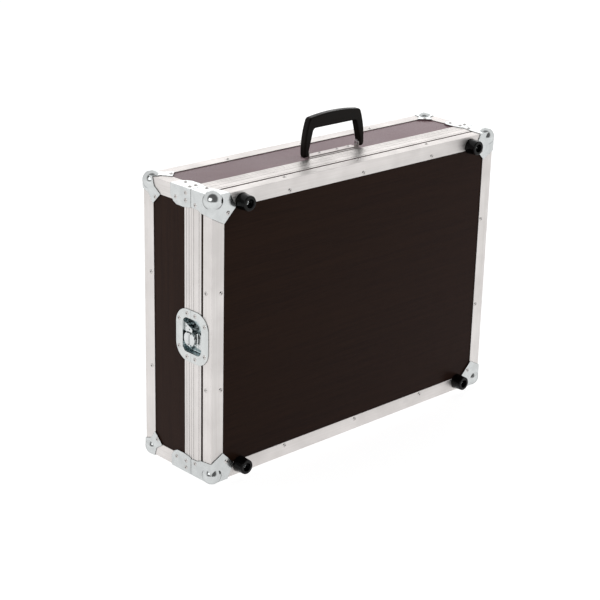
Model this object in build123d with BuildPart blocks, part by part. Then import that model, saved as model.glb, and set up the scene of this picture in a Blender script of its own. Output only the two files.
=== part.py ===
from build123d import *
import os
from math import cos, radians, sin

# Flight case for guitar pedals: a shallow base tray on rubber feet and a deep lift-off lid,
# held together by a butterfly latch at each end. The case stands on one long edge, as carried.
# X runs along that edge, -Y is the feet side of the base tray, +Y the back of the lid, +Z is up.
# "Inset" is a distance inwards from the outer face of the aluminium, "depth" a distance from
# the feet side towards the lid.

os.makedirs("parts", exist_ok=True)

# Case, measured over the aluminium
case_width = 800.0
case_height = 590.0
base_depth = 60.0
parting_gap = 0.4
lid_depth = 144.6
panel_thickness = 7.0

# Aluminium extrusions
aluminium = 1.5
face_leg = 30.0
base_side_leg = 25.0
lid_side_leg = 30.0
corner_leg = 30.0
extrusion_edge_radius = 1.0
base_rim_width = 29.2
lid_rim_width = 20.0
rim_inner_leg = 12.0
rim_web = 2.0
tongue_thickness = 3.0
tongue_height = 6.0
tongue_side_clearance = 0.4
tongue_end_clearance = 1.5
line_width = 0.8
line_depth = 0.4
base_rim_lines = [6.0, 22.0]
lid_rim_lines = [6.0, 13.5]

# Pressed steel corners
ball_radius = 19.5
ball_inset = 12.0
plate_thickness = 1.5
ball_seat_clearance = 0.3
plate_corner_radius = 2.0
plate_parting_setback = 0.4

# Blind rivets
rivet_head_radius = 4.5
rivet_head_height = 1.3
rivet_shank_radius = 2.0
rivet_length = 7.0
rivet_shoulder_radius = 3.5
rivet_shoulder_height = 0.85
rivet_dimple_radius = 1.5
rivet_dimple_depth = 0.9
hole_clearance = 0.1
rivet_spacing = 203.0
end_rivet_rise = 100.0
rivet_inset = 23.5
base_side_rivet_depth = 17.0
lid_side_rivet_setback = 21.0

# Rubber feet
foot_height = 24.0
foot_base_radius = 16.5
foot_tip_radius = 15.0
foot_edge_fillet = 2.0
foot_side_inset = 74.0
foot_edge_inset = 21.5
foot_well_radius = 9.0
foot_well_depth = 12.0
screw_radius = 2.5
screw_head_radius = 4.6
screw_head_height = 3.0
screw_head_fillet = 1.0
screw_washer_radius = 8.0
screw_washer_thickness = 1.2
screw_recess_radius = 1.8
screw_recess_depth = 1.8
tee_nut_flange_radius = 9.0
tee_nut_flange = 1.2
tee_nut_radius = 3.6
tee_nut_wall_clearance = 0.05

# Linings
carpet_thickness = 3.0
carpet_clearance = 0.6
foam_thickness = 20.0
foam_clearance = 1.5

# Handle on top of the lid
handle_foot_half_width = 84.3
handle_shoulder_half_width = 71.5
handle_shoulder_height = 82.6
handle_crown_height = 88.3
handle_opening_height = 60.2
handle_opening_half_width = 60.0
handle_leg_thickness = 12.3
handle_thickness = 16.0
handle_shoulder_radius = 9.0
handle_opening_radius = 8.0
handle_edge_radius = 3.5
handle_depth = 92.0
handle_pivot_height = 9.8
handle_leg_clearance = 0.3
bracket_thickness = 2.0
bracket_depth = 27.0
bracket_front_clearance = 3.0
bracket_ear_radius = 6.0
bracket_rib_height = 1.6
bracket_rib_width = 7.0
pivot_radius = 3.0
pivot_head_radius = 4.6
pivot_head_height = 1.2
pivot_grip_length = 6.5
running_clearance = 0.05

# Butterfly latch, one at each end. Depth is measured from the feet side, rise from the
# middle of the case's height, and level inwards from the outer face of the aluminium.
dish_start = 8.5
dish_end = 105.0
dish_half_height = 54.0
dish_corner_radius = 34.0
dish_sheet = 1.5
dish_mouth_radius = 1.2
pan_floor_radius = 3.0
pan_start = 30.0
pan_end = 86.0
pan_half_height = 35.5
pan_level = 13.0
pan_corner_radius = 14.0
cutout_clearance = 0.6
hub_depth = 68.5
hub_rise = -9.0
hub_disc_radius = 14.0
hub_disc_level = 4.6
hub_disc_thickness = 1.8
ear_half_width = 5.0
ear_start = 11.0
ear_end = 13.0
ear_level = -0.2
wing_pin_offset = 3.0
wing_pin_level = 1.8
wing_pin_radius = 1.2
wing_barrel_radius = 2.0
wing_radius = 15.5
wing_thickness = 1.8
wing_notch = 7.2
part_clearance = 0.3
draw_stroke = 4.0
cam_radius = 7.0
cam_play = 0.6
draw_level = 7.6
draw_thickness = 1.6
draw_wall = 2.6
shoulder_radius = 4.6
shoulder_clearance = 0.15
stud_radius = 4.0
stud_tail = 1.9
retainer_radius = 6.5
retainer_thickness = 1.4
rail_width = 2.2
rail_guide_width = 1.6
rail_start_clearance = 1.6
rail_end_clearance = 2.0
hook_pin_depth = 52.0
hook_pin_level = 8.9
hook_pin_radius = 1.2
hook_barrel_radius = 2.2
draw_barrel_radius = 2.0
hook_half_height = 15.0
hook_tab_half_height = 5.0
hook_arm_length = 14.3
hook_thickness = 2.0
hook_lip_thickness = 2.0
hook_lip_level = 12.4
hook_lift = 12.0
keeper_top_level = 10.3
keeper_thickness = 2.5
keeper_half_height = 13.0
cover_thickness = 1.2
cover_wing_gap = 0.5
cover_disc_gap = 0.5
cover_low_rise = 12.5
cover_high_rise = 23.5
cover_wall_gap = 0.8
cover_tab_depth = 81.6
cover_tab_rises = (9.0, 19.0)
cover_seat_depth = 77.5
cover_hole_radius = 1.6
cover_holes = [(81.0, 15.0), (70.0, 10.5)]

# ---------------------------------------------------------------- derived places
ball_proud = ball_radius - ball_inset
case_depth = base_depth + parting_gap + lid_depth
left = -case_width / 2
right = case_width / 2
bottom = ball_proud
top = bottom + case_height
middle = bottom + case_height / 2
front = (foot_height - case_depth - ball_proud) / 2
back = front + case_depth
panel_inset = aluminium
inner_inset = aluminium + panel_thickness
rim_inset = inner_inset + aluminium
lid_web_depth = base_depth + tongue_height + tongue_end_clearance
margin = 5.0
pick_margin = 0.5
mitre_reach = 60.0
corner_reach = 90.0


# ---------------------------------------------------------------- shared tools
def save(builder, name):
    """Label a finished piece and write its file."""
    builder.part.label = name
    export_step(builder.part, f"parts/{name}.step")


def block(low, high, mode=Mode.ADD):
    """A box between two opposite corners, in the active part."""
    size = [end - start for start, end in zip(low, high)]
    centre = [(start + end) / 2 for start, end in zip(low, high)]
    with Locations(tuple(centre)):
        Box(*size, mode=mode)


def face_plane(depth):
    """The plane parallel to the big faces at a depth, with its normal towards the lid."""
    return Plane(origin=(0, front + depth, middle), x_dir=(-1, 0, 0), z_dir=(0, 1, 0))


def right_hand(piece):
    """The right-hand copy of a left-hand piece."""
    with BuildPart() as copy:
        mirror(piece.part, about=Plane.YZ)
    return copy


def four_corners(piece):
    """A piece at the left bottom corner, copied to all four corners of the case."""
    with BuildPart() as group:
        add(piece.part)
        mirror(about=Plane.YZ)
        mirror(about=Plane.XY.offset(middle))
    return group


def lid_side(piece):
    """A piece at a front corner, copied to the matching corner at the back of the lid."""
    with BuildPart() as copy:
        mirror(piece.part, about=Plane.XZ.offset(-(front + case_depth / 2)))
    return copy


def ball_room():
    """The space beyond a ball corner's dome at the left bottom front corner of the case."""
    with BuildPart() as room:
        block(
            (left - margin, front - margin, bottom - margin),
            (left + ball_inset, front + ball_inset, bottom + ball_inset),
        )
        with Locations((left + ball_inset, front + ball_inset, bottom + ball_inset)):
            Sphere(ball_radius - plate_thickness - ball_seat_clearance, mode=Mode.SUBTRACT)
    return room


front_ball_rooms = four_corners(ball_room())
back_ball_rooms = four_corners(lid_side(ball_room()))


# ---------------------------------------------------------------- rivets
def end_rivet(depth, rise, seat):
    """A rivet on the left end face."""
    return (left + seat, front + depth, middle + rise), (1, 0, 0)


def both_ends(rivets):
    """Rivets of the left end, with their right-hand copies."""
    copies = [((-point[0], point[1], point[2]), (-way[0], way[1], way[2])) for point, way in rivets]
    return rivets + copies


def both_edges(rivets):
    """Rivets of the bottom edge, with their copies at the top edge."""
    copies = []
    for point, way in rivets:
        copies.append(((point[0], point[1], 2 * middle - point[2]), (way[0], way[1], -way[2])))
    return rivets + copies


def corner_rivets(depth, inset):
    """Rivets on the plates of one corner, on the end face and on the bottom face."""
    on_end = ((left - plate_thickness, front + depth, bottom + inset), (1, 0, 0))
    on_bottom = ((left + inset, front + depth, bottom - plate_thickness), (0, 0, 1))
    return [on_end, on_bottom]


def edge_rivets(face_depth, way, side_depth):
    """Rivets along the edge angles of one big face, on both legs of each angle."""
    rivets = []
    for place in (-rivet_spacing, 0.0, rivet_spacing):
        rivets += both_edges([((place, front + face_depth, bottom + rivet_inset), way)])
        rivets += both_edges([((place, front + side_depth, bottom), (0, 0, 1))])
    for rise in (-end_rivet_rise, end_rivet_rise):
        rivets += both_ends([((left + rivet_inset, front + face_depth, middle + rise), way)])
        rivets += both_ends([end_rivet(side_depth, rise, 0.0)])
    return rivets


plate_rivet = 38.0
base_plate_rivet_depth = 47.5
base_plate_rivet_inset = 27.0
brace_rivets = [(105.0, 23.0), (75.5, 23.5), (75.5, 9.0)]
keeper_flange_rivets = [(48.0, 45.0), (19.5, 31.0)]
lid_flange_rivets = [(72.0, 45.0), (96.0, 29.0)]
bracket_rivet_places = [58.0, 25.0]
bracket_rivet_setback = 6.5

base_corner = [((left + plate_rivet, front - plate_thickness, bottom + plate_rivet), (0, 1, 0))]
base_corner += corner_rivets(base_plate_rivet_depth, base_plate_rivet_inset)
base_latch = [end_rivet(d, r, -dish_sheet) for d, r in keeper_flange_rivets]
base_latch += [end_rivet(d, -r, -dish_sheet) for d, r in keeper_flange_rivets]
base_rivets = edge_rivets(0.0, (0, 1, 0), base_side_rivet_depth)
base_rivets += both_edges(both_ends(base_corner)) + both_ends(base_latch)

lid_corner = [((left + plate_rivet, back + plate_thickness, bottom + plate_rivet), (0, -1, 0))]
lid_corner += corner_rivets(case_depth - plate_rivet, plate_rivet)
for brace_depth, brace_inset in brace_rivets:
    lid_corner += corner_rivets(brace_depth, brace_inset)
lid_latch = [end_rivet(d, r, -dish_sheet) for d, r in lid_flange_rivets]
lid_latch += [end_rivet(d, -r, -dish_sheet) for d, r in lid_flange_rivets]
lid_rivets = edge_rivets(case_depth, (0, -1, 0), case_depth - lid_side_rivet_setback)
lid_rivets += both_edges(both_ends(lid_corner)) + both_ends(lid_latch)

bracket_start = base_depth + parting_gap + lid_rim_width + bracket_front_clearance
bracket_end = bracket_start + bracket_depth
bracket_top = top - panel_inset + bracket_thickness
bracket_rivets = []
for place in bracket_rivet_places:
    for spot in (-place, place):
        seat = (spot, front + bracket_end - bracket_rivet_setback, bracket_top)
        bracket_rivets.append((seat, (0, 0, -1)))
lid_rivets += bracket_rivets


def drill(builder, rivets):
    """Holes in the active part for the rivets that reach it."""
    reach = builder.part.bounding_box()
    for point, way in rivets:
        tip = [start + step * rivet_length for start, step in zip(point, way)]
        low = [min(pair) - rivet_head_radius for pair in zip(point, tip)]
        high = [max(pair) + rivet_head_radius for pair in zip(point, tip)]
        apart = [a > b for a, b in zip(low, tuple(reach.max))]
        apart += [a < b for a, b in zip(high, tuple(reach.min))]
        if any(apart):
            continue
        with Locations(Plane(origin=point, z_dir=way)):
            Cylinder(
                rivet_shank_radius + hole_clearance,
                2 * (rivet_length + hole_clearance),
                mode=Mode.SUBTRACT,
            )


def rivet_group(rivets):
    """All rivets of one half of the case: domed heads with a pulled-pin dimple, and shanks."""
    with BuildPart() as one:
        with BuildSketch(Plane.XZ):
            with BuildLine():
                crown = (0, -rivet_head_height)
                rim = (rivet_head_radius, 0)
                shoulder = (rivet_shoulder_radius, -rivet_shoulder_height)
                ThreePointArc(crown, shoulder, rim)
                Line(rim, (rivet_shank_radius, 0))
                Line((rivet_shank_radius, 0), (rivet_shank_radius, rivet_length))
                Line((rivet_shank_radius, rivet_length), (0, rivet_length))
                Line((0, rivet_length), crown)
            make_face()
        revolve(axis=Axis.Z)
        with Locations((0, 0, -rivet_head_height)):
            Cylinder(rivet_dimple_radius, 2 * rivet_dimple_depth, mode=Mode.SUBTRACT)
    with BuildPart() as group:
        with Locations(*[Plane(origin=point, z_dir=way) for point, way in rivets]):
            add(one.part)
    return group


# ---------------------------------------------------------------- aluminium frames
half_width = case_width / 2
half_height = case_height / 2
wedge_top = [
    (-half_width - margin, half_height + margin),
    (half_width + margin, half_height + margin),
    (half_width - mitre_reach, half_height - mitre_reach),
    (-half_width + mitre_reach, half_height - mitre_reach),
]
wedge_left = [
    (half_width + margin, half_height + margin),
    (half_width + margin, -half_height - margin),
    (half_width - mitre_reach, -half_height + mitre_reach),
    (half_width - mitre_reach, half_height - mitre_reach),
]
wedges = {
    "top": wedge_top,
    "bottom": [(x, -y) for x, y in wedge_top],
    "left": wedge_left,
    "right": [(-x, y) for x, y in wedge_left],
}


def frame_bar(side, rings, lines=(), rounded_at=None):
    """One mitred bar of a frame that runs round the case. Each ring is the outer inset, the
    inner inset, the start depth and the end depth; lines are fine grooves at given depths, and
    the outer edge at the depth rounded_at is rounded."""
    with BuildPart() as bar:
        for outer, inner, start, end in rings:
            with BuildSketch(face_plane(start)):
                Rectangle(case_width - 2 * outer, case_height - 2 * outer)
                Rectangle(case_width - 2 * inner, case_height - 2 * inner, mode=Mode.SUBTRACT)
            extrude(amount=end - start)
        if rounded_at is not None:
            edges = [e for e in bar.edges() if abs(e.center().Y - front - rounded_at) < pick_margin]
            edges = [e for e in edges if e.length > case_height - pick_margin]
            fillet(edges, radius=extrusion_edge_radius)
        for line in lines:
            with BuildSketch(face_plane(line)):
                Rectangle(case_width + margin, case_height + margin)
                Rectangle(case_width - 2 * line_depth, case_height - 2 * line_depth, mode=Mode.SUBTRACT)
            extrude(amount=line_width, mode=Mode.SUBTRACT)
        with BuildSketch(face_plane(-margin)):
            Polygon(*wedges[side], align=None)
        extrude(amount=case_depth + 2 * margin, mode=Mode.INTERSECT)
    return bar


base_angle_rings = [
    (0, face_leg, 0, aluminium),
    (0, aluminium, 0, base_side_leg),
]
tongue_inset = (rim_inset - tongue_thickness) / 2
base_rim_start = base_depth - base_rim_width
base_panel_end = base_depth - rim_web
base_rim_rings = [
    (0, aluminium, base_rim_start, base_depth),
    (0, rim_inset, base_panel_end, base_depth),
    (inner_inset, rim_inset, base_panel_end - rim_inner_leg, base_panel_end),
    (tongue_inset, tongue_inset + tongue_thickness, base_depth, base_depth + tongue_height),
]
groove_outer = tongue_inset - tongue_side_clearance
groove_inner = tongue_inset + tongue_thickness + tongue_side_clearance
lid_rim_start = base_depth + parting_gap
lid_rim_end = lid_rim_start + lid_rim_width
lid_panel_start = lid_web_depth + rim_web
lid_rim_rings = [
    (0, aluminium, lid_rim_start, lid_rim_end),
    (0, groove_outer, lid_rim_start, lid_web_depth),
    (groove_inner, rim_inset, lid_rim_start, lid_web_depth),
    (0, rim_inset, lid_web_depth, lid_panel_start),
    (inner_inset, rim_inset, lid_panel_start, lid_panel_start + rim_inner_leg),
]
back_angle_rings = [
    (0, face_leg, case_depth - aluminium, case_depth),
    (0, aluminium, case_depth - lid_side_leg, case_depth),
]
base_lines = [base_rim_start + line for line in base_rim_lines]
lid_lines = [lid_rim_start + line for line in lid_rim_lines]


def latch_cutouts():
    """Openings for the latch pans through the walls at both ends, in the active part."""
    for edge, way in ((left, 1), (right, -1)):
        outer = edge - way * margin
        inner = edge + way * (rim_inset + margin)
        block(
            (min(outer, inner), front + pan_start - dish_sheet - cutout_clearance,
             middle - pan_half_height - dish_sheet - cutout_clearance),
            (max(outer, inner), front + pan_end + dish_sheet + cutout_clearance,
             middle + pan_half_height + dish_sheet + cutout_clearance),
            mode=Mode.SUBTRACT,
        )


for side in wedges:
    with BuildPart() as base_edge_angle:
        add(frame_bar(side, base_angle_rings, rounded_at=0).part)
        add(front_ball_rooms.part, mode=Mode.SUBTRACT)
        drill(base_edge_angle, base_rivets)
        for foot_x in (left + foot_side_inset, right - foot_side_inset):
            for foot_z in (bottom + foot_edge_inset, top - foot_edge_inset):
                with Locations(Plane(origin=(foot_x, front, foot_z), z_dir=(0, 1, 0))):
                    Cylinder(screw_radius + hole_clearance, 2 * margin, mode=Mode.SUBTRACT)
    save(base_edge_angle, f"base_edge_angle_{side}")

    with BuildPart() as base_rim:
        add(frame_bar(side, base_rim_rings, base_lines).part)
        latch_cutouts()
        drill(base_rim, base_rivets)
    save(base_rim, f"base_rim_{side}")

    with BuildPart() as lid_rim:
        add(frame_bar(side, lid_rim_rings, lid_lines).part)
        latch_cutouts()
        drill(lid_rim, lid_rivets)
    save(lid_rim, f"lid_rim_{side}")

    with BuildPart() as lid_edge_angle:
        add(frame_bar(side, back_angle_rings, rounded_at=case_depth).part)
        add(back_ball_rooms.part, mode=Mode.SUBTRACT)
        drill(lid_edge_angle, lid_rivets)
    save(lid_edge_angle, f"lid_edge_angle_{side}")


# ---------------------------------------------------------------- plywood panels
def big_panel(start_depth, rivets):
    """A full-size panel parallel to the feet side."""
    with BuildPart() as panel:
        block(
            (left + panel_inset, front + start_depth, bottom + panel_inset),
            (right - panel_inset, front + start_depth + panel_thickness, top - panel_inset),
        )
        drill(panel, rivets)
    return panel


with BuildPart() as base_floor_panel:
    add(big_panel(panel_inset, base_rivets).part)
    add(front_ball_rooms.part, mode=Mode.SUBTRACT)
    for foot_x in (left + foot_side_inset, right - foot_side_inset):
        for foot_z in (bottom + foot_edge_inset, top - foot_edge_inset):
            with Locations(Plane(origin=(foot_x, front + inner_inset, foot_z), z_dir=(0, 1, 0))):
                Cylinder(
                    tee_nut_radius + hole_clearance, 2 * (panel_thickness + margin), mode=Mode.SUBTRACT
                )
                Cylinder(
                    tee_nut_flange_radius + hole_clearance, 2 * tee_nut_flange, mode=Mode.SUBTRACT
                )
save(base_floor_panel, "base_floor_panel")

with BuildPart() as lid_back_panel:
    add(big_panel(case_depth - inner_inset, lid_rivets).part)
    add(back_ball_rooms.part, mode=Mode.SUBTRACT)
save(lid_back_panel, "lid_back_panel")


def wall_panel(side, start_depth, end_depth, rivets):
    """One side wall. The long walls run the full width, the end walls fit between them."""
    low_z = bottom + inner_inset
    high_z = top - inner_inset
    spans = {
        "top": ((left + panel_inset, high_z), (right - panel_inset, top - panel_inset)),
        "bottom": ((left + panel_inset, bottom + panel_inset), (right - panel_inset, low_z)),
        "left": ((left + panel_inset, low_z), (left + inner_inset, high_z)),
        "right": ((right - inner_inset, low_z), (right - panel_inset, high_z)),
    }
    (low_x, low), (high_x, high) = spans[side]
    with BuildPart() as wall:
        block((low_x, front + start_depth, low), (high_x, front + end_depth, high))
        add(front_ball_rooms.part, mode=Mode.SUBTRACT)
        add(back_ball_rooms.part, mode=Mode.SUBTRACT)
        latch_cutouts()
        drill(wall, rivets)
    return wall


for side in wedges:
    base_wall = wall_panel(side, inner_inset, base_panel_end, base_rivets)
    save(base_wall, f"base_wall_{side}")
    lid_wall = wall_panel(side, lid_panel_start, case_depth - inner_inset, lid_rivets)
    save(lid_wall, f"lid_wall_{side}")

# ---------------------------------------------------------------- corner hardware
# The outlines of the plates are given from the corner of the case, first along the case's
# depth (or its width, on a big face) and then along the other edge.
t = plate_thickness
base_face_outline = [(-t, -t), (42, -t), (58, 29), (29, 58), (-t, 42)]
base_plate_end = base_depth - plate_parting_setback
base_side_outline = [
    (-t, -t), (base_plate_end, -t), (base_plate_end, 33), (42, 34), (30, 39), (-t, 42),
]
lid_outline = [(-t, -t), (28, -t), (34, 17), (53, 29.5), (29.5, 53), (17, 34), (-t, 28)]
brace_start = lid_rim_start + plate_parting_setback
brace_outline = [
    (brace_start, -t), (brace_start, 35), (82, 38), (103, 37.5), (112, 33), (121, 22), (121, -t),
]


def rounded_outline(plane, points):
    """A plate's outline, its corners away from the case's edges rounded."""
    with BuildSketch(plane) as outline:
        Polygon(*points, align=None)
        inner = [v for v in outline.vertices() if plane.to_local_coords(v).X > 0]
        inner = [v for v in inner if plane.to_local_coords(v).Y > 0]
        fillet(inner, radius=plate_corner_radius)
    return outline.sketch


def end_plane(depth):
    """The left end face, with depth along its first axis and height along its second."""
    return Plane(origin=(left, front + depth, bottom), x_dir=(0, 1, 0), z_dir=(1, 0, 0))


def bottom_plane(depth):
    """The bottom face, with depth along its first axis and width along its second."""
    return Plane(origin=(left, front + depth, bottom), x_dir=(0, 1, 0), z_dir=(0, 0, -1))


def ball_corner(face_outline, side_outline):
    """A pressed corner at the left, bottom, front corner: a hollow dome and three plates."""
    face = Plane(origin=(left, front, bottom), x_dir=(1, 0, 0), z_dir=(0, -1, 0))
    ball_centre = (left + ball_inset, front + ball_inset, bottom + ball_inset)
    beyond = (left - corner_reach, front - corner_reach, bottom - corner_reach)
    with BuildPart() as dome:
        with Locations(ball_centre):
            Sphere(ball_radius)
            Sphere(ball_radius - plate_thickness, mode=Mode.SUBTRACT)
        block(beyond, ball_centre, mode=Mode.INTERSECT)
    with BuildPart() as corner:
        extrude(rounded_outline(face, face_outline), amount=plate_thickness)
        extrude(rounded_outline(end_plane(0), side_outline), amount=-plate_thickness)
        extrude(rounded_outline(bottom_plane(0), side_outline), amount=plate_thickness)
        with Locations(ball_centre):
            Sphere(ball_radius)
        block(
            (left, front, bottom),
            (left + corner_reach, front + corner_reach, bottom + corner_reach),
            mode=Mode.SUBTRACT,
        )
        block(beyond, ball_centre, mode=Mode.SUBTRACT)
        add(dome.part)
    return corner


with BuildPart() as one_base_corner:
    add(ball_corner(base_face_outline, base_side_outline).part)
    drill(one_base_corner, base_rivets)
save(four_corners(one_base_corner), "base_ball_corners")

with BuildPart() as one_lid_corner:
    add(lid_side(ball_corner(lid_outline, lid_outline)).part)
    drill(one_lid_corner, lid_rivets)
save(four_corners(one_lid_corner), "lid_ball_corners")

with BuildPart() as one_brace:
    extrude(rounded_outline(end_plane(0), brace_outline), amount=-plate_thickness)
    extrude(rounded_outline(bottom_plane(0), brace_outline), amount=plate_thickness)
    drill(one_brace, lid_rivets)
save(four_corners(one_brace), "lid_corner_braces")

with BuildPart() as one_corner_angle:
    block(
        (left, front + lid_rim_end, bottom),
        (left + corner_leg, front + case_depth - lid_side_leg, bottom + corner_leg),
    )
    block(
        (left + aluminium, front + lid_rim_end, bottom + aluminium),
        (left + corner_leg, front + case_depth - lid_side_leg, bottom + corner_leg),
        mode=Mode.SUBTRACT,
    )
    outer_edges = one_corner_angle.edges().filter_by(Axis.Y).sort_by(Axis.Z)
    outer_edges = [e for e in outer_edges if e.center().X < left + pick_margin]
    fillet(outer_edges[0], radius=extrusion_edge_radius)
    drill(one_corner_angle, lid_rivets)
save(four_corners(one_corner_angle), "lid_corner_angles")

save(rivet_group(base_rivets), "base_rivets")
save(rivet_group(lid_rivets), "lid_rivets")


# ---------------------------------------------------------------- rubber feet
def at_feet(piece):
    """A piece made on the Z axis, placed at the four feet with +Z pointing out of the floor."""
    with BuildPart() as group:
        for foot_x in (left + foot_side_inset, right - foot_side_inset):
            for foot_z in (bottom + foot_edge_inset, top - foot_edge_inset):
                with Locations(Plane(origin=(foot_x, front, foot_z), z_dir=(0, -1, 0))):
                    add(piece.part)
    return group


from_base = (Align.CENTER, Align.CENTER, Align.MIN)
with BuildPart() as one_foot:
    Cone(foot_base_radius, foot_tip_radius, foot_height, align=from_base)
    fillet(one_foot.faces().sort_by(Axis.Z)[-1].edges(), radius=foot_edge_fillet)
    with Locations((0, 0, foot_height - foot_well_depth)):
        Cylinder(foot_well_radius, foot_well_depth, align=from_base, mode=Mode.SUBTRACT)
    Cylinder(screw_radius + hole_clearance, foot_height, align=from_base, mode=Mode.SUBTRACT)
save(at_feet(one_foot), "rubber_feet")

screw_seat = foot_height - foot_well_depth
tee_nut_start = -inner_inset
with BuildPart() as one_screw:
    with Locations((0, 0, tee_nut_start + part_clearance)):
        Cylinder(screw_radius, screw_seat - tee_nut_start - part_clearance, align=from_base)
    with Locations((0, 0, screw_seat)):
        Cylinder(screw_washer_radius, screw_washer_thickness, align=from_base)
    with Locations((0, 0, screw_seat + screw_washer_thickness)):
        Cylinder(screw_head_radius, screw_head_height, align=from_base)
    head_top = one_screw.faces().sort_by(Axis.Z)[-1]
    fillet(head_top.edges(), radius=screw_head_fillet)
    with BuildSketch(Plane.XY.offset(screw_seat + screw_washer_thickness + screw_head_height)):
        RegularPolygon(screw_recess_radius, 6)
    extrude(amount=-screw_recess_depth, mode=Mode.SUBTRACT)
save(at_feet(one_screw), "foot_screws")

with BuildPart() as one_tee_nut:
    with Locations((0, 0, tee_nut_start)):
        Cylinder(tee_nut_flange_radius, tee_nut_flange, align=from_base)
        Cylinder(tee_nut_radius, panel_thickness - hole_clearance, align=from_base)
        Cylinder(
            screw_radius + tee_nut_wall_clearance, panel_thickness, align=from_base, mode=Mode.SUBTRACT
        )
save(at_feet(one_tee_nut), "foot_tee_nuts")

# ---------------------------------------------------------------- linings
with BuildPart() as base_carpet:
    block(
        (left + inner_inset + carpet_clearance, front + inner_inset,
         bottom + inner_inset + carpet_clearance),
        (right - inner_inset - carpet_clearance, front + inner_inset + carpet_thickness,
         top - inner_inset - carpet_clearance),
    )
save(base_carpet, "base_carpet")

with BuildPart() as lid_foam_pad:
    block(
        (left + inner_inset + foam_clearance, back - inner_inset - foam_thickness,
         bottom + inner_inset + foam_clearance),
        (right - inner_inset - foam_clearance, back - inner_inset, top - inner_inset - foam_clearance),
    )
save(lid_foam_pad, "lid_foam_pad")

# ---------------------------------------------------------------- handle
pivot_z = top + handle_pivot_height
pivot_y = front + handle_depth
leg_inner = handle_foot_half_width - handle_leg_thickness
ear_outer = leg_inner - handle_leg_clearance
ear_inner = ear_outer - bracket_thickness

with BuildPart() as handle_bracket:
    block(
        (-ear_outer, front + bracket_start, top - panel_inset),
        (ear_outer, front + bracket_end, bracket_top),
    )
    rib_end = front + bracket_end - bracket_depth / 2
    block(
        (-ear_inner + margin, rib_end - bracket_rib_width, bracket_top),
        (ear_inner - margin, rib_end, bracket_top + bracket_rib_height),
    )
    for ear_start_x in (-ear_outer, ear_inner):
        block(
            (ear_start_x, pivot_y - bracket_ear_radius, bracket_top),
            (ear_start_x + bracket_thickness, pivot_y + bracket_ear_radius, pivot_z),
        )
        with Locations(Plane(origin=(ear_start_x, pivot_y, pivot_z), z_dir=(1, 0, 0))):
            Cylinder(bracket_ear_radius, bracket_thickness, align=from_base)
            Cylinder(
                pivot_radius + running_clearance, bracket_thickness, align=from_base, mode=Mode.SUBTRACT
            )
    drill(handle_bracket, lid_rivets)
save(handle_bracket, "handle_bracket")

with BuildPart() as handle_pivot_pins:
    for way in (-1, 1):
        with Locations(Plane(origin=(way * ear_inner, pivot_y, pivot_z), z_dir=(way, 0, 0))):
            Cylinder(pivot_radius, bracket_thickness + handle_leg_clearance + pivot_grip_length,
                     align=from_base)
        with Locations(Plane(origin=(way * ear_inner, pivot_y, pivot_z), z_dir=(-way, 0, 0))):
            Cylinder(pivot_head_radius, pivot_head_height, align=from_base)
save(handle_pivot_pins, "handle_pivot_pins")

foot_corner = (handle_foot_half_width, pivot_z)
other_foot_corner = (-handle_foot_half_width, pivot_z)
outer_bend = (handle_foot_half_width, pivot_z + handle_thickness / 2)
other_outer_bend = (-handle_foot_half_width, pivot_z + handle_thickness / 2)
leg_bend = pivot_z + bracket_ear_radius + handle_leg_clearance
with BuildPart() as handle_grip:
    with BuildSketch(Plane(origin=(0, pivot_y, 0), x_dir=(1, 0, 0), z_dir=(0, -1, 0))) as arch:
        with BuildLine():
            crown = (0, top + handle_crown_height)
            shoulder = (handle_shoulder_half_width, top + handle_shoulder_height)
            other_shoulder = (-handle_shoulder_half_width, top + handle_shoulder_height)
            ThreePointArc(other_shoulder, crown, shoulder)
            for foot, leg_start, leg_end in (
                (foot_corner, outer_bend, shoulder),
                (other_foot_corner, other_outer_bend, other_shoulder),
            ):
                Line(foot, leg_start)
                TangentArc(leg_start, leg_end, tangent=(0, 1))
            Line(foot_corner, other_foot_corner)
        make_face()
        fillet(arch.vertices().group_by(Axis.Y)[-1], radius=handle_shoulder_radius)
        with BuildLine():
            inner_top = (handle_opening_half_width, top + handle_opening_height)
            Polyline(
                (leg_inner, pivot_z), (leg_inner, leg_bend), inner_top,
                (-inner_top[0], inner_top[1]), (-leg_inner, leg_bend), (-leg_inner, pivot_z),
                close=True,
            )
        make_face(mode=Mode.SUBTRACT)
        corners = arch.vertices()
        fillet([c for c in corners if abs(c.Y - inner_top[1]) < pick_margin], radius=handle_opening_radius)
    extrude(amount=handle_thickness / 2, both=True)
    for way in (-1, 1):
        with Locations(Plane(origin=(way * leg_inner, pivot_y, pivot_z), z_dir=(way, 0, 0))):
            Cylinder(handle_thickness / 2, handle_leg_thickness, align=from_base)
    soft_edges = handle_grip.edges().filter_by(Axis.Y, reverse=True)
    soft_edges = [edge for edge in soft_edges if abs(edge.center().Z - pivot_z) > pick_margin]
    fillet(soft_edges, radius=handle_edge_radius)
    for way in (-1, 1):
        with Locations(Plane(origin=(way * leg_inner, pivot_y, pivot_z), z_dir=(way, 0, 0))):
            Cylinder(
                pivot_radius + running_clearance,
                pivot_grip_length + handle_leg_clearance,
                align=from_base,
                mode=Mode.SUBTRACT,
            )
save(handle_grip, "handle_grip")


# ---------------------------------------------------------------- butterfly latches
def latch_plane(level):
    """The left end face at a level, with depth along its first axis and rise along its second."""
    return Plane(origin=(left + level, front, middle), x_dir=(0, 1, 0), z_dir=(1, 0, 0))


def latch_block(depths, rises, levels, mode=Mode.ADD):
    """A box in the latch's own depth, rise and level, in the active part."""
    block(
        (left + levels[0], front + depths[0], middle + rises[0]),
        (left + levels[1], front + depths[1], middle + rises[1]),
        mode=mode,
    )


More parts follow.
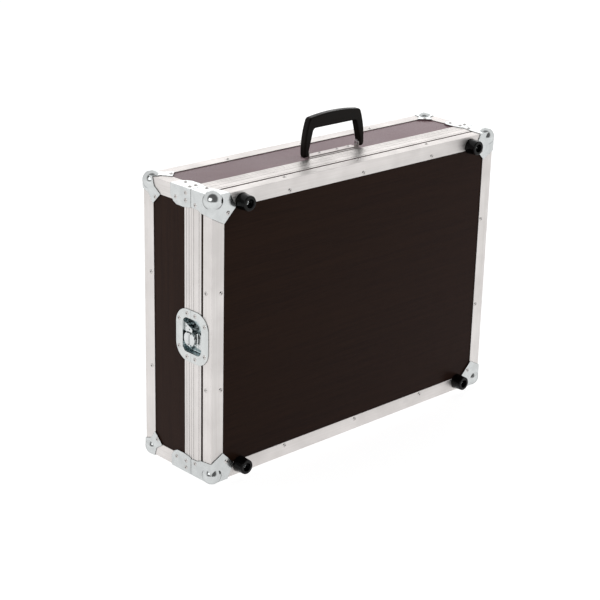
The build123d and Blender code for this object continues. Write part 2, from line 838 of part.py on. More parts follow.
def full_dish():
    """The pressed dish before it is split at the parting line: a flange and a sunken pan."""
    pan_centre = ((pan_start + pan_end) / 2, 0)
    pan_length = pan_end - pan_start
    with BuildPart() as dish:
        with BuildSketch(latch_plane(0)):
            with Locations(((dish_start + dish_end) / 2, 0)):
                RectangleRounded(dish_end - dish_start, 2 * dish_half_height, dish_corner_radius)
        extrude(amount=-dish_sheet)
        with BuildSketch(latch_plane(0)):
            with Locations(pan_centre):
                RectangleRounded(
                    pan_length + 2 * dish_sheet,
                    2 * (pan_half_height + dish_sheet),
                    pan_corner_radius + dish_sheet,
                )
        extrude(amount=pan_level + dish_sheet)
        with BuildSketch(latch_plane(-dish_sheet)):
            with Locations(pan_centre):
                RectangleRounded(pan_length, 2 * pan_half_height, pan_corner_radius)
        extrude(amount=pan_level + dish_sheet, mode=Mode.SUBTRACT)
        floor_faces = dish.faces().filter_by(Axis.X).filter_by_position(
            Axis.X, left + pan_level - pick_margin, left + pan_level + pick_margin
        )
        fillet(floor_faces[0].outer_wire().edges(), radius=pan_floor_radius)
        mouth = dish.faces().filter_by(Axis.X).sort_by(Axis.X)[0].inner_wires()[0]
        fillet(mouth.edges(), radius=dish_mouth_radius)
    return dish


def dish_between(start, end):
    """The stretch of the dish between two depths."""
    with BuildPart() as half:
        add(full_dish().part)
        reach = 2 * dish_half_height
        latch_block((start, end), (-reach, reach), (-reach, reach), mode=Mode.INTERSECT)
    return half


cover_level = wing_pin_level + wing_thickness / 2 + cover_wing_gap
keeper_depth = hook_pin_depth + draw_stroke - hook_arm_length + part_clearance
draw_half_height = cam_radius + draw_stroke / 2 + part_clearance + draw_wall
rail_level = draw_level + draw_thickness + part_clearance
rail_end = pan_end - rail_end_clearance
rail_start = base_depth + parting_gap + rail_start_clearance

with BuildPart() as keeper_dish:
    add(dish_between(dish_start - margin, base_depth).part)
    latch_block(
        (keeper_depth, keeper_depth + keeper_thickness),
        (hub_rise - keeper_half_height, hub_rise + keeper_half_height),
        (keeper_top_level, pan_level),
    )
    drill(keeper_dish, base_rivets)
save(keeper_dish, "keeper_dish_left")
save(right_hand(keeper_dish), "keeper_dish_right")

with BuildPart() as latch_dish:
    add(dish_between(base_depth + parting_gap, dish_end + margin).part)
    for way in (-1, 1):
        seat = sorted((hub_rise + way * (draw_half_height - rail_width), hub_rise + way * draw_half_height))
        guide_start = draw_half_height + part_clearance
        guide = sorted((hub_rise + way * (draw_half_height - rail_width),
                        hub_rise + way * (guide_start + rail_guide_width)))
        wall = sorted((hub_rise + way * guide_start, hub_rise + way * (guide_start + rail_guide_width)))
        latch_block((rail_start, rail_end), guide, (rail_level, pan_level))
        latch_block((rail_start, rail_end), wall, (draw_level - part_clearance, pan_level))
        if way > 0:
            latch_block((cover_seat_depth, rail_end), wall, (cover_level + cover_thickness, draw_level))
    with Locations(latch_plane(pan_level) * Location((hub_depth, hub_rise, 0))):
        Cylinder(stud_radius + running_clearance, 2 * margin, mode=Mode.SUBTRACT)
    drill(latch_dish, lid_rivets)
save(latch_dish, "latch_dish_left")
save(right_hand(latch_dish), "latch_dish_right")

with BuildPart() as latch_cover:
    cover_start = rail_start
    cover_end = pan_end - cover_wall_gap
    cover_base_rise = hub_rise + hub_disc_radius + cover_disc_gap
    with BuildSketch(latch_plane(cover_level)):
        Polygon(
            (cover_start, cover_base_rise), (cover_start, cover_low_rise),
            (cover_end, cover_high_rise), (cover_end, cover_base_rise),
            align=None,
        )
        with Locations(*cover_holes):
            Circle(cover_hole_radius, mode=Mode.SUBTRACT)
    extrude(amount=cover_thickness)
    latch_block(
        (cover_tab_depth, cover_tab_depth + cover_thickness), cover_tab_rises, (cover_level, pan_level)
    )
save(latch_cover, "latch_cover_left")
save(right_hand(latch_cover), "latch_cover_right")

with BuildPart() as latch_hub:
    for way in (-1, 1):
        ear = sorted((hub_rise + way * ear_start, hub_rise + way * ear_end))
        latch_block(
            (hub_depth - ear_half_width, hub_depth + ear_half_width), ear, (ear_level, hub_disc_level)
        )
    with BuildSketch(latch_plane(hub_disc_level)):
        with Locations((hub_depth, hub_rise)):
            Circle(hub_disc_radius)
    extrude(amount=hub_disc_thickness)
    cam_start = hub_disc_level + hub_disc_thickness
    cam_end = draw_level + draw_thickness + part_clearance
    with BuildSketch(latch_plane(cam_start)):
        with Locations((hub_depth - draw_stroke / 2, hub_rise)):
            Circle(cam_radius)
    extrude(amount=cam_end - cam_start)
    with BuildSketch(latch_plane(cam_start)):
        with Locations((hub_depth, hub_rise)):
            Circle(shoulder_radius)
    extrude(amount=pan_level - shoulder_clearance - cam_start)
    with BuildSketch(latch_plane(cam_start)):
        with Locations((hub_depth, hub_rise)):
            Circle(stud_radius)
    extrude(amount=pan_level + dish_sheet + shoulder_clearance + stud_tail - cam_start)
    for side_depth in (hub_depth - wing_pin_offset, hub_depth + wing_pin_offset):
        pin_line = Plane(
            origin=(left + wing_pin_level, front + side_depth, middle + hub_rise), z_dir=(0, 0, 1)
        )
        with Locations(pin_line):
            Cylinder(wing_pin_radius + hole_clearance / 2, 4 * ear_end, mode=Mode.SUBTRACT)
save(latch_hub, "latch_hub_left")
save(right_hand(latch_hub), "latch_hub_right")

with BuildPart() as hub_retainer:
    with BuildSketch(latch_plane(pan_level + dish_sheet + shoulder_clearance)):
        with Locations((hub_depth, hub_rise)):
            Circle(retainer_radius)
            Circle(stud_radius, mode=Mode.SUBTRACT)
    extrude(amount=retainer_thickness)
save(hub_retainer, "hub_retainer_left")
save(right_hand(hub_retainer), "hub_retainer_right")

with BuildPart() as wing_pins:
    for side_depth in (hub_depth - wing_pin_offset, hub_depth + wing_pin_offset):
        pin_line = Plane(
            origin=(left + wing_pin_level, front + side_depth, middle + hub_rise), z_dir=(0, 0, 1)
        )
        with Locations(pin_line):
            Cylinder(wing_pin_radius, 2 * ear_end)
save(wing_pins, "wing_pins_left")
save(right_hand(wing_pins), "wing_pins_right")


def wing(way):
    """A half-round wing on its barrel; way is 1 for the lid side and -1 for the feet side."""
    barrel_half_length = ear_start - part_clearance
    pin_depth = hub_depth + way * wing_pin_offset
    with BuildPart() as flap:
        with BuildSketch(latch_plane(wing_pin_level - wing_thickness / 2)):
            with Locations((hub_depth, hub_rise)):
                Circle(wing_radius)
            with Locations((hub_depth - way * (wing_radius - wing_pin_offset), hub_rise)):
                Rectangle(2 * wing_radius, 2 * wing_radius, mode=Mode.SUBTRACT)
            for side in (-1, 1):
                with Locations((hub_depth, hub_rise + side * (barrel_half_length + wing_radius / 2))):
                    Rectangle(2 * wing_notch, wing_radius, mode=Mode.SUBTRACT)
        extrude(amount=wing_thickness)
        barrel_line = Plane(
            origin=(left + wing_pin_level, front + pin_depth, middle + hub_rise), z_dir=(0, 0, 1)
        )
        with Locations(barrel_line):
            Cylinder(wing_barrel_radius, 2 * barrel_half_length)
            Cylinder(wing_pin_radius + running_clearance, 4 * ear_end, mode=Mode.SUBTRACT)
    return flap


wing_rear = wing(1)
save(wing_rear, "wing_rear_left")
save(right_hand(wing_rear), "wing_rear_right")
wing_front = wing(-1)
save(wing_front, "wing_front_left")
save(right_hand(wing_front), "wing_front_right")

# The draw plate is modelled unlatched, pushed out towards the keeper by the hub's eccentric.
slot_depth = hub_depth - draw_stroke / 2
draw_end = slot_depth + cam_radius + cam_play + draw_wall
draw_start = slot_depth - cam_radius - cam_play - draw_wall
with BuildPart() as draw_plate:
    latch_block(
        (draw_start, draw_end),
        (hub_rise - draw_half_height, hub_rise + draw_half_height),
        (draw_level, draw_level + draw_thickness),
    )
    latch_block(
        (slot_depth - cam_radius - cam_play, slot_depth + cam_radius + cam_play),
        (hub_rise - draw_half_height + draw_wall, hub_rise + draw_half_height - draw_wall),
        (draw_level, draw_level + draw_thickness),
        mode=Mode.SUBTRACT,
    )
    latch_block(
        (hook_pin_depth, draw_start),
        (hub_rise - hook_tab_half_height, hub_rise + hook_tab_half_height),
        (draw_level, draw_level + draw_thickness),
    )
    hook_line = Plane(
        origin=(left + hook_pin_level, front + hook_pin_depth, middle + hub_rise), z_dir=(0, 0, 1)
    )
    with Locations(hook_line):
        Cylinder(draw_barrel_radius, 2 * hook_tab_half_height)
        Cylinder(hook_pin_radius, 2 * hook_half_height)
save(draw_plate, "draw_plate_left")
save(right_hand(draw_plate), "draw_plate_right")

# The hook is modelled unlatched too, lifted clear of the keeper.
lift = radians(hook_lift)
hook_section = Plane(
    origin=(left + hook_pin_level, front + hook_pin_depth, middle + hub_rise),
    x_dir=(-sin(lift), -cos(lift), 0),
    z_dir=(0, 0, 1),
)
with BuildPart() as draw_hook:
    lip_end = hook_arm_length + hook_lip_thickness
    with BuildSketch(hook_section):
        Circle(hook_barrel_radius)
        with Locations((lip_end / 2, 0)):
            Rectangle(lip_end, hook_thickness)
        lip_height = hook_lip_level - hook_pin_level + hook_thickness / 2
        with Locations((lip_end - hook_lip_thickness / 2, (lip_height - hook_thickness) / 2)):
            Rectangle(hook_lip_thickness, lip_height)
    extrude(amount=hook_half_height, both=True)
    with BuildSketch(hook_section):
        tab_gap = draw_barrel_radius + part_clearance
        with Locations((tab_gap / 2 - hook_barrel_radius, 0)):
            Rectangle(tab_gap + 2 * hook_barrel_radius, 2 * hook_barrel_radius)
    extrude(amount=hook_tab_half_height + part_clearance, both=True, mode=Mode.SUBTRACT)
    with BuildSketch(hook_section):
        Circle(hook_pin_radius + running_clearance)
    extrude(amount=hook_half_height, both=True, mode=Mode.SUBTRACT)
save(draw_hook, "draw_hook_left")
save(right_hand(draw_hook), "draw_hook_right")
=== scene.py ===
import math

import bmesh
import bpy
from mathutils import Matrix, Vector, noise


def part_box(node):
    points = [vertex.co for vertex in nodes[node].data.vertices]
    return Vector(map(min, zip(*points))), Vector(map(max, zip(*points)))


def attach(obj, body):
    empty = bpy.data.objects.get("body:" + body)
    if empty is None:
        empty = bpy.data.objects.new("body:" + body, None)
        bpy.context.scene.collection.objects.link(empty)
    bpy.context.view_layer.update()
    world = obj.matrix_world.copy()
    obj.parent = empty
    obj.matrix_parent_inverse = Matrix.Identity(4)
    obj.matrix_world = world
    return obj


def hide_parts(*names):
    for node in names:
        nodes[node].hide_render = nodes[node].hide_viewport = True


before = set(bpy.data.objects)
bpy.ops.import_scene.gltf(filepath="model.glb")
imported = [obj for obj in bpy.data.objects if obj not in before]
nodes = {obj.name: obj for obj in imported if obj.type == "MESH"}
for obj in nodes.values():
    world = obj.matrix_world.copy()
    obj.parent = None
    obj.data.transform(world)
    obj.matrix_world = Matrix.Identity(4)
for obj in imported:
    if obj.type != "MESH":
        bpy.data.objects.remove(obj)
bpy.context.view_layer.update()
scene = bpy.context.scene
scene.view_settings.view_transform = "Standard"

# ------------------------------------------------------------------ camera
EYE = Vector((-2.2344, -2.2544, 1.4381))
LOOK = Vector((0.64872, 0.67845, -0.34478)).normalized()
ROLL = math.radians(1.39)
FIELD = math.radians(21.32)
SENSOR = 36.0


def make_camera():
    flat_right = LOOK.cross(Vector((0, 0, 1))).normalized()
    flat_up = flat_right.cross(LOOK)
    right = flat_right * math.cos(ROLL) + flat_up * math.sin(ROLL)
    up = flat_up * math.cos(ROLL) - flat_right * math.sin(ROLL)
    data = bpy.data.cameras.new("camera")
    data.sensor_width = SENSOR
    data.sensor_fit = "HORIZONTAL"
    data.lens = SENSOR / 2 / math.tan(FIELD / 2)
    camera = bpy.data.objects.new("camera", data)
    turned = Matrix((right, up, -LOOK)).transposed().to_4x4()
    camera.matrix_world = Matrix.Translation(EYE) @ turned
    scene.collection.objects.link(camera)
    scene.camera = camera


make_camera()


# ------------------------------------------------------------------ node helpers
# Places of the sockets whose names stand more than once on their node.
FROM_LOW, FROM_HIGH, TO_LOW, TO_HIGH = 1, 2, 3, 4
MIX_FACTOR, MIX_FIRST_COLOR, MIX_SECOND_COLOR, MIX_COLOR_RESULT = 0, 6, 7, 2

# A noise texture keeps mostly between these values.
NOISE_LOW, NOISE_HIGH = 0.35, 0.65


def put(tree, socket, value):
    """Links a socket to another one, or sets it to a value."""
    if isinstance(value, bpy.types.NodeSocket):
        tree.links.new(value, socket)
    else:
        socket.default_value = value


def math_node(tree, operation, one, two):
    made = tree.nodes.new("ShaderNodeMath")
    made.operation = operation
    put(tree, made.inputs[0], one)
    put(tree, made.inputs[1], two)
    return made.outputs[0]


def map_node(tree, value, start, end, low, high):
    """Value from start to end becomes low to high."""
    made = tree.nodes.new("ShaderNodeMapRange")
    put(tree, made.inputs[0], value)
    places = (FROM_LOW, start), (FROM_HIGH, end), (TO_LOW, low), (TO_HIGH, high)
    for index, number in places:
        made.inputs[index].default_value = number
    return made.outputs[0]


class Shader:
    """A small wrapper that builds one material's nodes from nested calls."""

    def __init__(self, name, color, **sockets):
        self.material = bpy.data.materials.new(name)
        self.material.use_nodes = True
        self.tree = self.material.node_tree
        self.surface = self.tree.nodes["Principled BSDF"]
        self.material.diffuse_color = (*color, 1)
        self.surface.inputs["Base Color"].default_value = (*color, 1)
        for socket, value in sockets.items():
            self.surface.inputs[socket.replace("_", " ")].default_value = value
        self.place = self.node("ShaderNodeTexCoord").outputs["Object"]

    def node(self, kind, settings=None, **inputs):
        made = self.tree.nodes.new(kind)
        for key, value in (settings or {}).items():
            setattr(made, key, value)
        for key, value in inputs.items():
            put(self.tree, made.inputs[key.replace("_", " ")], value)
        return made

    def set(self, socket, value):
        put(self.tree, self.surface.inputs[socket], value)

    def noise(self, scale, stretch=(1, 1, 1), detail=3.0, rough=0.55, warp=0.0):
        spread = self.node("ShaderNodeMapping", Vector=self.place, Scale=stretch)
        made = self.node(
            "ShaderNodeTexNoise",
            Vector=spread.outputs[0],
            Scale=scale,
            Detail=detail,
            Roughness=rough,
            Distortion=warp,
        )
        return made.outputs[0]

    def cells(self, scale):
        return self.node("ShaderNodeTexVoronoi", Vector=self.place, Scale=scale).outputs[0]

    def span(self, value, low, high, start=NOISE_LOW, end=NOISE_HIGH):
        """Value from start to end becomes low to high."""
        return map_node(self.tree, value, start, end, low, high)

    def blend(self, factor, one, two):
        made = self.node("ShaderNodeMix", {"data_type": "RGBA"})
        self.put_color(made.inputs[MIX_FIRST_COLOR], one)
        self.put_color(made.inputs[MIX_SECOND_COLOR], two)
        put(self.tree, made.inputs[MIX_FACTOR], factor)
        return made.outputs[MIX_COLOR_RESULT]

    def put_color(self, socket, value):
        put(self.tree, socket, (*value, 1) if isinstance(value, tuple) else value)

    def mottle(self, cloud, one, two):
        """One colour to the other, as a noise rises."""
        return self.blend(self.span(cloud, 0, 1), one, two)

    def add(self, one, two):
        return math_node(self.tree, "ADD", one, two)

    def inward(self, axis, start, end):
        """0 to 1 as the distance from the case's middle, along an axis, falls from start to end."""
        along = self.node("ShaderNodeSeparateXYZ", Vector=self.place).outputs[axis]
        distance = math_node(self.tree, "ABSOLUTE", along, 0.0)
        return self.span(distance, 0.0, 1.0, start, end)

    def crevice_shade(self, reach, start, end):
        """A mask for painted shade: 1 in holes and tight corners, falling to 0 on open surfaces."""
        made = self.node("ShaderNodeAmbientOcclusion", {"samples": 6}, Distance=reach)
        return self.span(made.outputs["AO"], 1.0, 0.0, start, end)

    def relief(self, *layers, edge=0.0):
        """Bump layers, each a height, its strength and its depth in metres."""
        normal = None
        if edge:
            normal = self.node("ShaderNodeBevel", {"samples": 4}, Radius=edge).outputs[0]
        for height, strength, depth in layers:
            made = self.node(
                "ShaderNodeBump", Height=height, Strength=strength, Distance=depth
            )
            if normal is not None:
                put(self.tree, made.inputs["Normal"], normal)
            normal = made.outputs[0]
        self.set("Normal", normal)


def stretched(axis, share):
    """A texture's scale along each axis, where one axis has only a share of it."""
    scale = [1.0, 1.0, 1.0]
    scale[axis] = share
    return tuple(scale)


# ------------------------------------------------------------------ materials
X, Y, Z = 0, 1, 2

ALUMINIUM = (0.73, 0.70, 0.68)
ALUMINIUM_EDGE_TINT = (0.62, 0.61, 0.605, 1)
ALUMINIUM_DARK_STREAK = (0.70, 0.67, 0.65)
ALUMINIUM_LIGHT_STREAK = (0.81, 0.785, 0.77)
ALUMINIUM_BAND = (0.84, 0.80, 0.785)
ALUMINIUM_STAIN = (0.63, 0.605, 0.59)
# Painted shade for grooves, gaps and tight corners.
ALUMINIUM_CREVICE_SHADE = (0.06, 0.055, 0.05)
BRUSH_STRETCH = 0.012


def brushed_aluminium(name, axis):
    """Bare extruded aluminium, brushed along one axis, with faint stains, rub marks and painted
    shade in its crevices.
    """
    made = Shader(name, ALUMINIUM, Metallic=1.0)
    made.set("Specular Tint", ALUMINIUM_EDGE_TINT)
    along = stretched(axis, BRUSH_STRETCH)
    hair = made.noise(2600, along, detail=2.0)
    streak = made.noise(330, along)
    band = made.noise(70, along, detail=2.0)
    cloud = made.noise(14, detail=4.0)
    tone = made.mottle(streak, ALUMINIUM_DARK_STREAK, ALUMINIUM_LIGHT_STREAK)
    tone = made.blend(made.span(band, 0.0, 0.45), tone, ALUMINIUM_BAND)
    tone = made.blend(made.span(cloud, 0.0, 0.3), tone, ALUMINIUM_STAIN)
    # Painted shade: the colour darkens in grooves, gaps and tight corners.
    tone = made.blend(made.crevice_shade(0.0035, 0.49, 0.74), tone, ALUMINIUM_CREVICE_SHADE)
    made.set("Base Color", tone)
    rough = made.add(made.span(streak, 0.42, 0.52), made.span(cloud, -0.03, 0.06))
    made.set("Roughness", rough)
    made.relief((hair, 0.22, 0.00008), (streak, 0.14, 0.0003), edge=0.0004)
    return made.material


ZINC_EDGE_TINT = (0.66, 0.66, 0.66, 1)
ZINC_DULL_SHARE = 0.88
ZINC_SPECK = (0.42, 0.45, 0.46)
# Painted shade for the inside of a recess: darker, bluer plating colours.
ZINC_RECESS_SHADE_DARK = (0.34, 0.43, 0.45)
ZINC_RECESS_SHADE_LIGHT = (0.62, 0.69, 0.70)
# Painted shade for rivet dimples, gaps and tight corners.
ZINC_CREVICE_SHADE = (0.05, 0.055, 0.06)


def zinc_plate(name, color, rough, edge, recess=None):
    """Pressed steel with bright zinc plating: cloudy, lightly dented and scuffed, with painted
    shade in its crevices. Its roughness runs between two values. Inside a recess, given as two
    distances from the middle of the case, a darker, bluer painted shade lies on the plating."""
    made = Shader(name, color, Metallic=1.0)
    made.set("Specular Tint", ZINC_EDGE_TINT)
    cloud = made.noise(55, detail=4.0, warp=0.4)
    speck = made.noise(900, detail=2.0)
    dull = tuple(ZINC_DULL_SHARE * part for part in color)
    tone = made.mottle(cloud, dull, color)
    tone = made.blend(made.span(speck, 0.0, 0.22, 0.58, 0.75), tone, ZINC_SPECK)
    if recess:
        # Painted shade: the plating inside the recess turns darker and bluer from its mouth
        # inwards.
        shade = made.mottle(cloud, ZINC_RECESS_SHADE_DARK, ZINC_RECESS_SHADE_LIGHT)
        tone = made.blend(made.inward(X, *recess), tone, shade)
    # Painted shade: the colour darkens in dimples, gaps and tight corners.
    tone = made.blend(made.crevice_shade(0.0016, 0.15, 0.75), tone, ZINC_CREVICE_SHADE)
    made.set("Base Color", tone)
    made.set("Roughness", made.add(made.span(cloud, *rough), made.span(speck, 0.0, 0.05)))
    made.relief((cloud, 0.12, 0.0005), (speck, 0.1, 0.0001), edge=edge)
    return made.material


FILM = (0.012, 0.0075, 0.006)
FILM_DARK_GRAIN = (0.0140, 0.0062, 0.0020)
FILM_LIGHT_GRAIN = (0.0240, 0.0108, 0.0038)
FILM_VEIN = (0.0292, 0.0132, 0.0047)
FILM_SPECULAR_TINT = (1.0, 0.80, 0.80, 1)
FILM_SHEEN_TINT = (1.0, 0.60, 0.70, 1)
GRAIN_STRETCH = 0.03


def phenolic_film(name, axis):
    """Plywood under a dark brown phenolic film: faint wood grain under a satin skin."""
    made = Shader(name, FILM)
    made.set("Specular IOR Level", 0.045)
    made.set("Specular Tint", FILM_SPECULAR_TINT)
    made.set("Sheen Weight", 0.9)
    made.set("Sheen Roughness", 0.33)
    made.set("Sheen Tint", FILM_SHEEN_TINT)
    along = stretched(axis, GRAIN_STRETCH)
    grain = made.noise(420, along, detail=5.0, rough=0.6, warp=0.4)
    vein = made.noise(60, along, rough=0.5, warp=1.2)
    peel = made.noise(700, detail=2.0)
    cloud = made.noise(6, detail=3.0)
    tone = made.mottle(grain, FILM_DARK_GRAIN, FILM_LIGHT_GRAIN)
    tone = made.blend(made.span(vein, 0.0, 0.5), tone, FILM_VEIN)
    made.set("Base Color", tone)
    rough = made.add(made.span(peel, 0.22, 0.30), made.span(cloud, -0.02, 0.05))
    made.set("Roughness", rough)
    made.relief((peel, 0.16, 0.0001), (grain, 0.08, 0.00015))
    return made.material


SCUFF_SHARE = 1.9


def moulded(name, color, rough, bump_scale, depth, edge, coat=0.0):
    """Moulded rubber or plastic with a fine spark-eroded texture and light scuffs."""
    made = Shader(name, color)
    made.set("Specular IOR Level", 0.10)
    made.set("Coat Weight", coat)
    made.set("Coat Roughness", 0.2)
    skin = made.noise(bump_scale, detail=3.0)
    cloud = made.noise(45, detail=4.0)
    pale = tuple(SCUFF_SHARE * part for part in color)
    made.set("Base Color", made.blend(made.span(cloud, 0, 0.8), color, pale))
    scuffed = made.span(cloud, rough - 0.05, rough + 0.07)
    made.set("Roughness", made.add(scuffed, made.span(skin, 0, 0.06)))
    made.relief((skin, 0.35, depth), edge=edge)
    return made.material


PILE = (0.02, 0.02, 0.022)
PILE_DARK_TUFT = (0.010, 0.010, 0.011)
PILE_LIGHT_TUFT = (0.045, 0.045, 0.050)


def pile(name):
    """Short black loop carpet."""
    made = Shader(name, PILE, Roughness=0.95)
    made.set("Specular IOR Level", 0.2)
    made.set("Sheen Weight", 0.25)
    loops = made.cells(900)
    tuft = made.noise(320, detail=5.0, rough=0.7)
    made.set("Base Color", made.mottle(tuft, PILE_DARK_TUFT, PILE_LIGHT_TUFT))
    made.relief((loops, 0.8, 0.0007), (tuft, 0.6, 0.0009))
    return made.material


FOAM = (0.05, 0.05, 0.055)
FOAM_DARK = (0.045, 0.046, 0.050)
FOAM_LIGHT = (0.07, 0.071, 0.077)
FOAM_PORE = (0.015, 0.015, 0.017)


def closed_foam(name):
    """Dark grey closed-cell foam with small pores."""
    made = Shader(name, FOAM, Roughness=0.85)
    made.set("Specular IOR Level", 0.25)
    pores = made.cells(1300)
    cloud = made.noise(24, detail=4.0)
    tone = made.mottle(cloud, FOAM_DARK, FOAM_LIGHT)
    tone = made.blend(made.span(pores, 0.5, 0.0, 0.0, 0.35), tone, FOAM_PORE)
    made.set("Base Color", tone)
    made.relief((pores, 0.7, 0.0004), (cloud, 0.2, 0.001))
    return made.material


PLATE_COLOR = (0.64, 0.66, 0.66)
LATCH_COLOR = (0.70, 0.72, 0.72)
DISH_COLOR = (0.66, 0.68, 0.675)
BRACKET_COLOR = (0.50, 0.46, 0.45)
RIVET_COLOR = (0.62, 0.595, 0.58)
RUBBER_COLOR = (0.0022, 0.0022, 0.0022)
PLASTIC_COLOR = (0.0060, 0.0040, 0.0028)

# The painted shade in the latch pan's plating deepens between these depths under the case's end
# face, in metres.
PAN_MOUTH, PAN_DEEP = 0.0008, 0.0055

aluminium = [brushed_aluminium(f"aluminium_{name}", axis) for axis, name in enumerate("xyz")]
phenolic = [phenolic_film(f"phenolic_{name}", axis) for axis, name in enumerate("xyz")]
plated = zinc_plate("zinc_plated", PLATE_COLOR, rough=(0.10, 0.18), edge=0.0012)
latch_plate = zinc_plate("zinc_bright", LATCH_COLOR, rough=(0.10, 0.18), edge=0.0005)
half_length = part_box("base_rim_right")[1].x
pan = (half_length - PAN_MOUTH, half_length - PAN_DEEP)
dish_plate = zinc_plate("zinc_dish", DISH_COLOR, rough=(0.12, 0.22), edge=0.0006, recess=pan)
bracket_plate = zinc_plate("zinc_bracket", BRACKET_COLOR, rough=(0.26, 0.40), edge=0.0006)
rivet_metal = zinc_plate("rivet_metal", RIVET_COLOR, rough=(0.12, 0.22), edge=0.0)
rubber = moulded(
    "foot_rubber", RUBBER_COLOR, rough=0.18, bump_scale=1500, depth=0.00008, edge=0.0006, coat=0.14
)
plastic = moulded(
    "handle_plastic", PLASTIC_COLOR, rough=0.38, bump_scale=1900, depth=0.00010, edge=0.0
)
carpet = pile("loop_carpet")
foam = closed_foam("lid_foam")

# The way that the bar or wall on each side of the case runs.
BAR_AXIS = {"top": X, "bottom": X, "left": Z, "right": Z}


def finish_of(name):
    """The material of a CAD node that stays."""
    side = name.rsplit("_", 1)[-1]
    if "edge_angle" in name or "_rim_" in name:
        return aluminium[BAR_AXIS[side]]
    if name == "lid_corner_angles":
        return aluminium[Y]
    if "panel" in name or "_wall_" in name:
        return phenolic[BAR_AXIS.get(side, X)]
    if name.endswith("rivets"):
        return rivet_metal
    if name == "rubber_feet":
        return rubber
    if name == "handle_grip":
        return plastic
    if name == "handle_bracket":
        return bracket_plate
    if "dish" in name:
        return dish_plate
    if side in ("left", "right"):
        return latch_plate
    return plated


LININGS = ("base_carpet", "lid_foam_pad")
for name, node in nodes.items():
    if name not in LININGS:
        node.data.materials.clear()
        node.data.materials.append(finish_of(name))


# ------------------------------------------------------------------ linings
# Where the mesh lines stand in a lining's rounded border, as shares of its width.
BORDER_LINES = (0.0, 0.12, 0.4, 1.0)

# How far a lining's border falls, as a share of its thickness, and the least it keeps.
BORDER_FALL = 0.45
LEAST_HEIGHT = 0.1


def grid_lines(low, high, step, rounding):
    """Places from low to high, a step apart, and closer within the rounded border."""
    border = [rounding * part for part in BORDER_LINES]
    room = high - low - 2 * rounding
    count = max(2, round(room / step))
    inside = [low + rounding + room * i / count for i in range(1, count)]
    return [low + b for b in border] + inside + [high - b for b in reversed(border)]


def lining(name, node, outward, material, step, rounding, surface):
    """A soft sheet that fills a CAD slab. Its face points along +Y or -Y, its height is a share
    of the slab's thickness that surface(x, z) gives, and its border is rounded off."""
    low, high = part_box(node)
    seat = low.y if outward > 0 else high.y
    thickness = high.y - low.y
    across = grid_lines(low.x, high.x, step, rounding)
    upward = grid_lines(low.z, high.z, step, rounding)
    mesh = bmesh.new()
    face_side, seat_side = [], []
    for z in upward:
        for x in across:
            inset = min(x - low.x, high.x - x, z - low.z, high.z - z)
            bend = max(0.0, 1.0 - inset / rounding)
            fall = BORDER_FALL * (1.0 - math.sqrt(1.0 - bend * bend))
            height = thickness * max(LEAST_HEIGHT, surface(x, z) - fall)
            face_side.append(mesh.verts.new((x, seat + outward * height, z)))
            seat_side.append(mesh.verts.new((x, seat, z)))
    width, rows = len(across), len(upward)
    for row in range(rows - 1):
        for column in range(width - 1):
            corner = row * width + column
            ring = (corner, corner + 1, corner + 1 + width, corner + width)
            mesh.faces.new([face_side[i] for i in ring])
            mesh.faces.new([seat_side[i] for i in reversed(ring)])
    border = list(range(width))
    border += [row * width + width - 1 for row in range(1, rows)]
    border += [(rows - 1) * width + column for column in range(width - 2, -1, -1)]
    border += [row * width for row in range(rows - 2, 0, -1)]
    for here, after in zip(border, border[1:] + border[:1]):
        ring = (face_side[here], seat_side[here], seat_side[after], face_side[after])
        mesh.faces.new(ring)
    bmesh.ops.recalc_face_normals(mesh, faces=mesh.faces)
    for face in mesh.faces:
        face.smooth = True
    data = bpy.data.meshes.new(name)
    mesh.to_mesh(data)
    mesh.free()
    data.materials.append(material)
    piece = bpy.data.objects.new(name, data)
    scene.collection.objects.link(piece)
    return piece


# The carpet's two swells, each with its waves per metre, its layer of the noise and its height
# as a share of the carpet's thickness.
CARPET_LEVEL = 0.90
CARPET_SWELLS = ((9, 0, 0.06), (70, 5, 0.05))


def carpet_height(x, z):
    """Loop pile, trodden a little unevenly."""
    level = CARPET_LEVEL
    for pitch, layer, height in CARPET_SWELLS:
        level += height * noise.noise(Vector((pitch * x, layer, pitch * z)))
    return min(1.0, level)


FOAM_PITCH = 0.030
FOAM_LEVEL, FOAM_WAVE = 0.80, 0.19


def foam_height(x, z):
    """Convoluted foam: rounded peaks in staggered rows."""
    wave = math.cos(math.tau * x / FOAM_PITCH) * math.cos(math.tau * z / FOAM_PITCH)
    return FOAM_LEVEL + FOAM_WAVE * wave


carpet_sheet = lining(
    "carpet_sheet", "base_carpet", 1, carpet, step=0.010, rounding=0.003, surface=carpet_height
)
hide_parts("base_carpet")
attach(carpet_sheet, "base")

foam_sheet = lining(
    "foam_sheet", "lid_foam_pad", -1, foam, step=0.0050, rounding=0.006, surface=foam_height
)
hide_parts("lid_foam_pad")
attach(foam_sheet, "lid")


# ------------------------------------------------------------------ studio
SOFT_LIGHT = 0.75

# The photographer's side of the room: its direction, the cosines between which it darkens, and
# the share of the light that it keeps.
DIM_SIDE = (-0.55, -0.575, 0.605)
DIM_START, DIM_END = 0.40, 0.62
DIM_SHARE = 0.14

FLOOR_REACH = 9.0
FLOOR_COLOR = (0.82, 0.82, 0.82, 1)
SEEN_FLOOR_COLOR = (0.40, 0.40, 0.40, 1)
SEEN_FLOOR_GLOW = 0.88

CENTRE = (0, 0, 0.3)
CASE_TOP = (0, 0, 0.6)


def background_share(tree):
    """1 for the rays that are to see the plain white background: the camera's, and those that
    metal and glass reflect or pass on."""
    path = tree.nodes.new("ShaderNodeLightPath")
    share = path.outputs["Is Camera Ray"]
    for kind in ("Is Glossy Ray", "Is Transmission Ray"):
        share = math_node(tree, "MAXIMUM", share, path.outputs[kind])
    return share


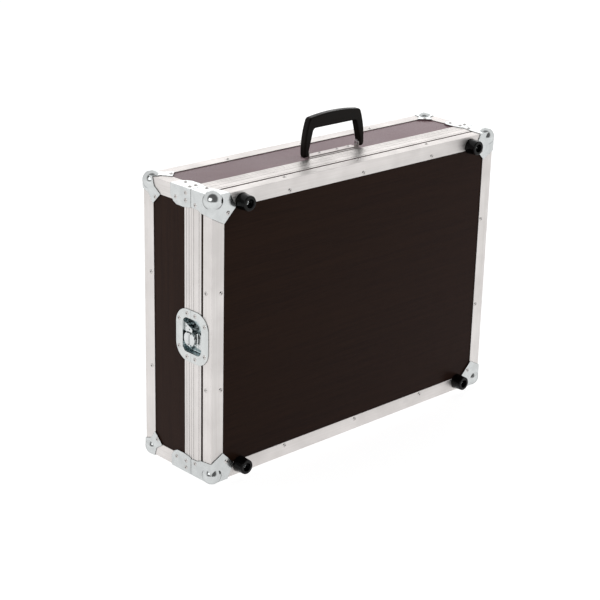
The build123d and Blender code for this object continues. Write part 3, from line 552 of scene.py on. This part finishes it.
def make_world():
    """White to the camera and to metal, and a soft even light. The side that the photographer
    stands on is dim, and only the object sees that."""
    world = bpy.data.worlds.new("studio")
    scene.world = world
    world.use_nodes = True
    tree = world.node_tree
    tree.nodes.clear()
    out = tree.nodes.new("ShaderNodeOutputWorld")
    path = tree.nodes.new("ShaderNodeLightPath")
    coords = tree.nodes.new("ShaderNodeTexCoord")
    toward = tree.nodes.new("ShaderNodeVectorMath")
    toward.operation = "DOT_PRODUCT"
    toward.inputs[1].default_value = DIM_SIDE
    tree.links.new(coords.outputs["Generated"], toward.inputs[0])
    dim = map_node(tree, toward.outputs["Value"], DIM_START, DIM_END, 1.0, DIM_SHARE)
    seen = math_node(tree, "MAXIMUM", dim, path.outputs["Is Camera Ray"])
    strength = map_node(tree, background_share(tree), 0.0, 1.0, SOFT_LIGHT, 1.0)
    white = tree.nodes.new("ShaderNodeBackground")
    white.inputs[0].default_value = (1, 1, 1, 1)
    tree.links.new(math_node(tree, "MULTIPLY", strength, seen), white.inputs[1])
    tree.links.new(white.outputs[0], out.inputs[0])


def make_floor():
    """A plain pale floor. It looks white to the camera and to metal, and keeps the shadow."""
    mesh = bpy.data.meshes.new("floor")
    near, far = -FLOOR_REACH, FLOOR_REACH
    corners = [(near, near, 0), (far, near, 0), (far, far, 0), (near, far, 0)]
    mesh.from_pydata(corners, [], [(0, 1, 2, 3)])
    floor = bpy.data.objects.new("floor", mesh)
    scene.collection.objects.link(floor)
    material = bpy.data.materials.new("floor")
    material.use_nodes = True
    tree = material.node_tree
    tree.nodes.clear()
    out = tree.nodes.new("ShaderNodeOutputMaterial")
    plain = tree.nodes.new("ShaderNodeBsdfDiffuse")
    plain.inputs[0].default_value = FLOOR_COLOR
    seen = tree.nodes.new("ShaderNodeBsdfDiffuse")
    seen.inputs[0].default_value = SEEN_FLOOR_COLOR
    glow = tree.nodes.new("ShaderNodeEmission")
    glow.inputs[1].default_value = SEEN_FLOOR_GLOW
    both = tree.nodes.new("ShaderNodeAddShader")
    mix = tree.nodes.new("ShaderNodeMixShader")
    tree.links.new(seen.outputs[0], both.inputs[0])
    tree.links.new(glow.outputs[0], both.inputs[1])
    tree.links.new(background_share(tree), mix.inputs[0])
    tree.links.new(plain.outputs[0], mix.inputs[1])
    tree.links.new(both.outputs[0], mix.inputs[2])
    tree.links.new(mix.outputs[0], out.inputs[0])
    mesh.materials.append(material)


def softbox(name, place, aim, size, radiance):
    """A soft lamp of a given brightness, which the camera doesn't see."""
    data = bpy.data.lights.new(name, "AREA")
    data.shape = "RECTANGLE"
    data.size, data.size_y = size
    data.energy = radiance * math.pi * size[0] * size[1]
    lamp = bpy.data.objects.new(name, data)
    lamp.location = place
    facing = Vector(aim) - Vector(place)
    lamp.rotation_euler = facing.to_track_quat("-Z", "Y").to_euler()
    lamp.visible_camera = False
    scene.collection.objects.link(lamp)


make_world()
make_floor()
softbox("back_light", (2.2, 2.3, 1.7), CASE_TOP, size=(3.2, 1.2), radiance=1.55)
softbox("key_light", (-3.7, -1.0, 2.2), CENTRE, size=(2.4, 1.9), radiance=2.0)
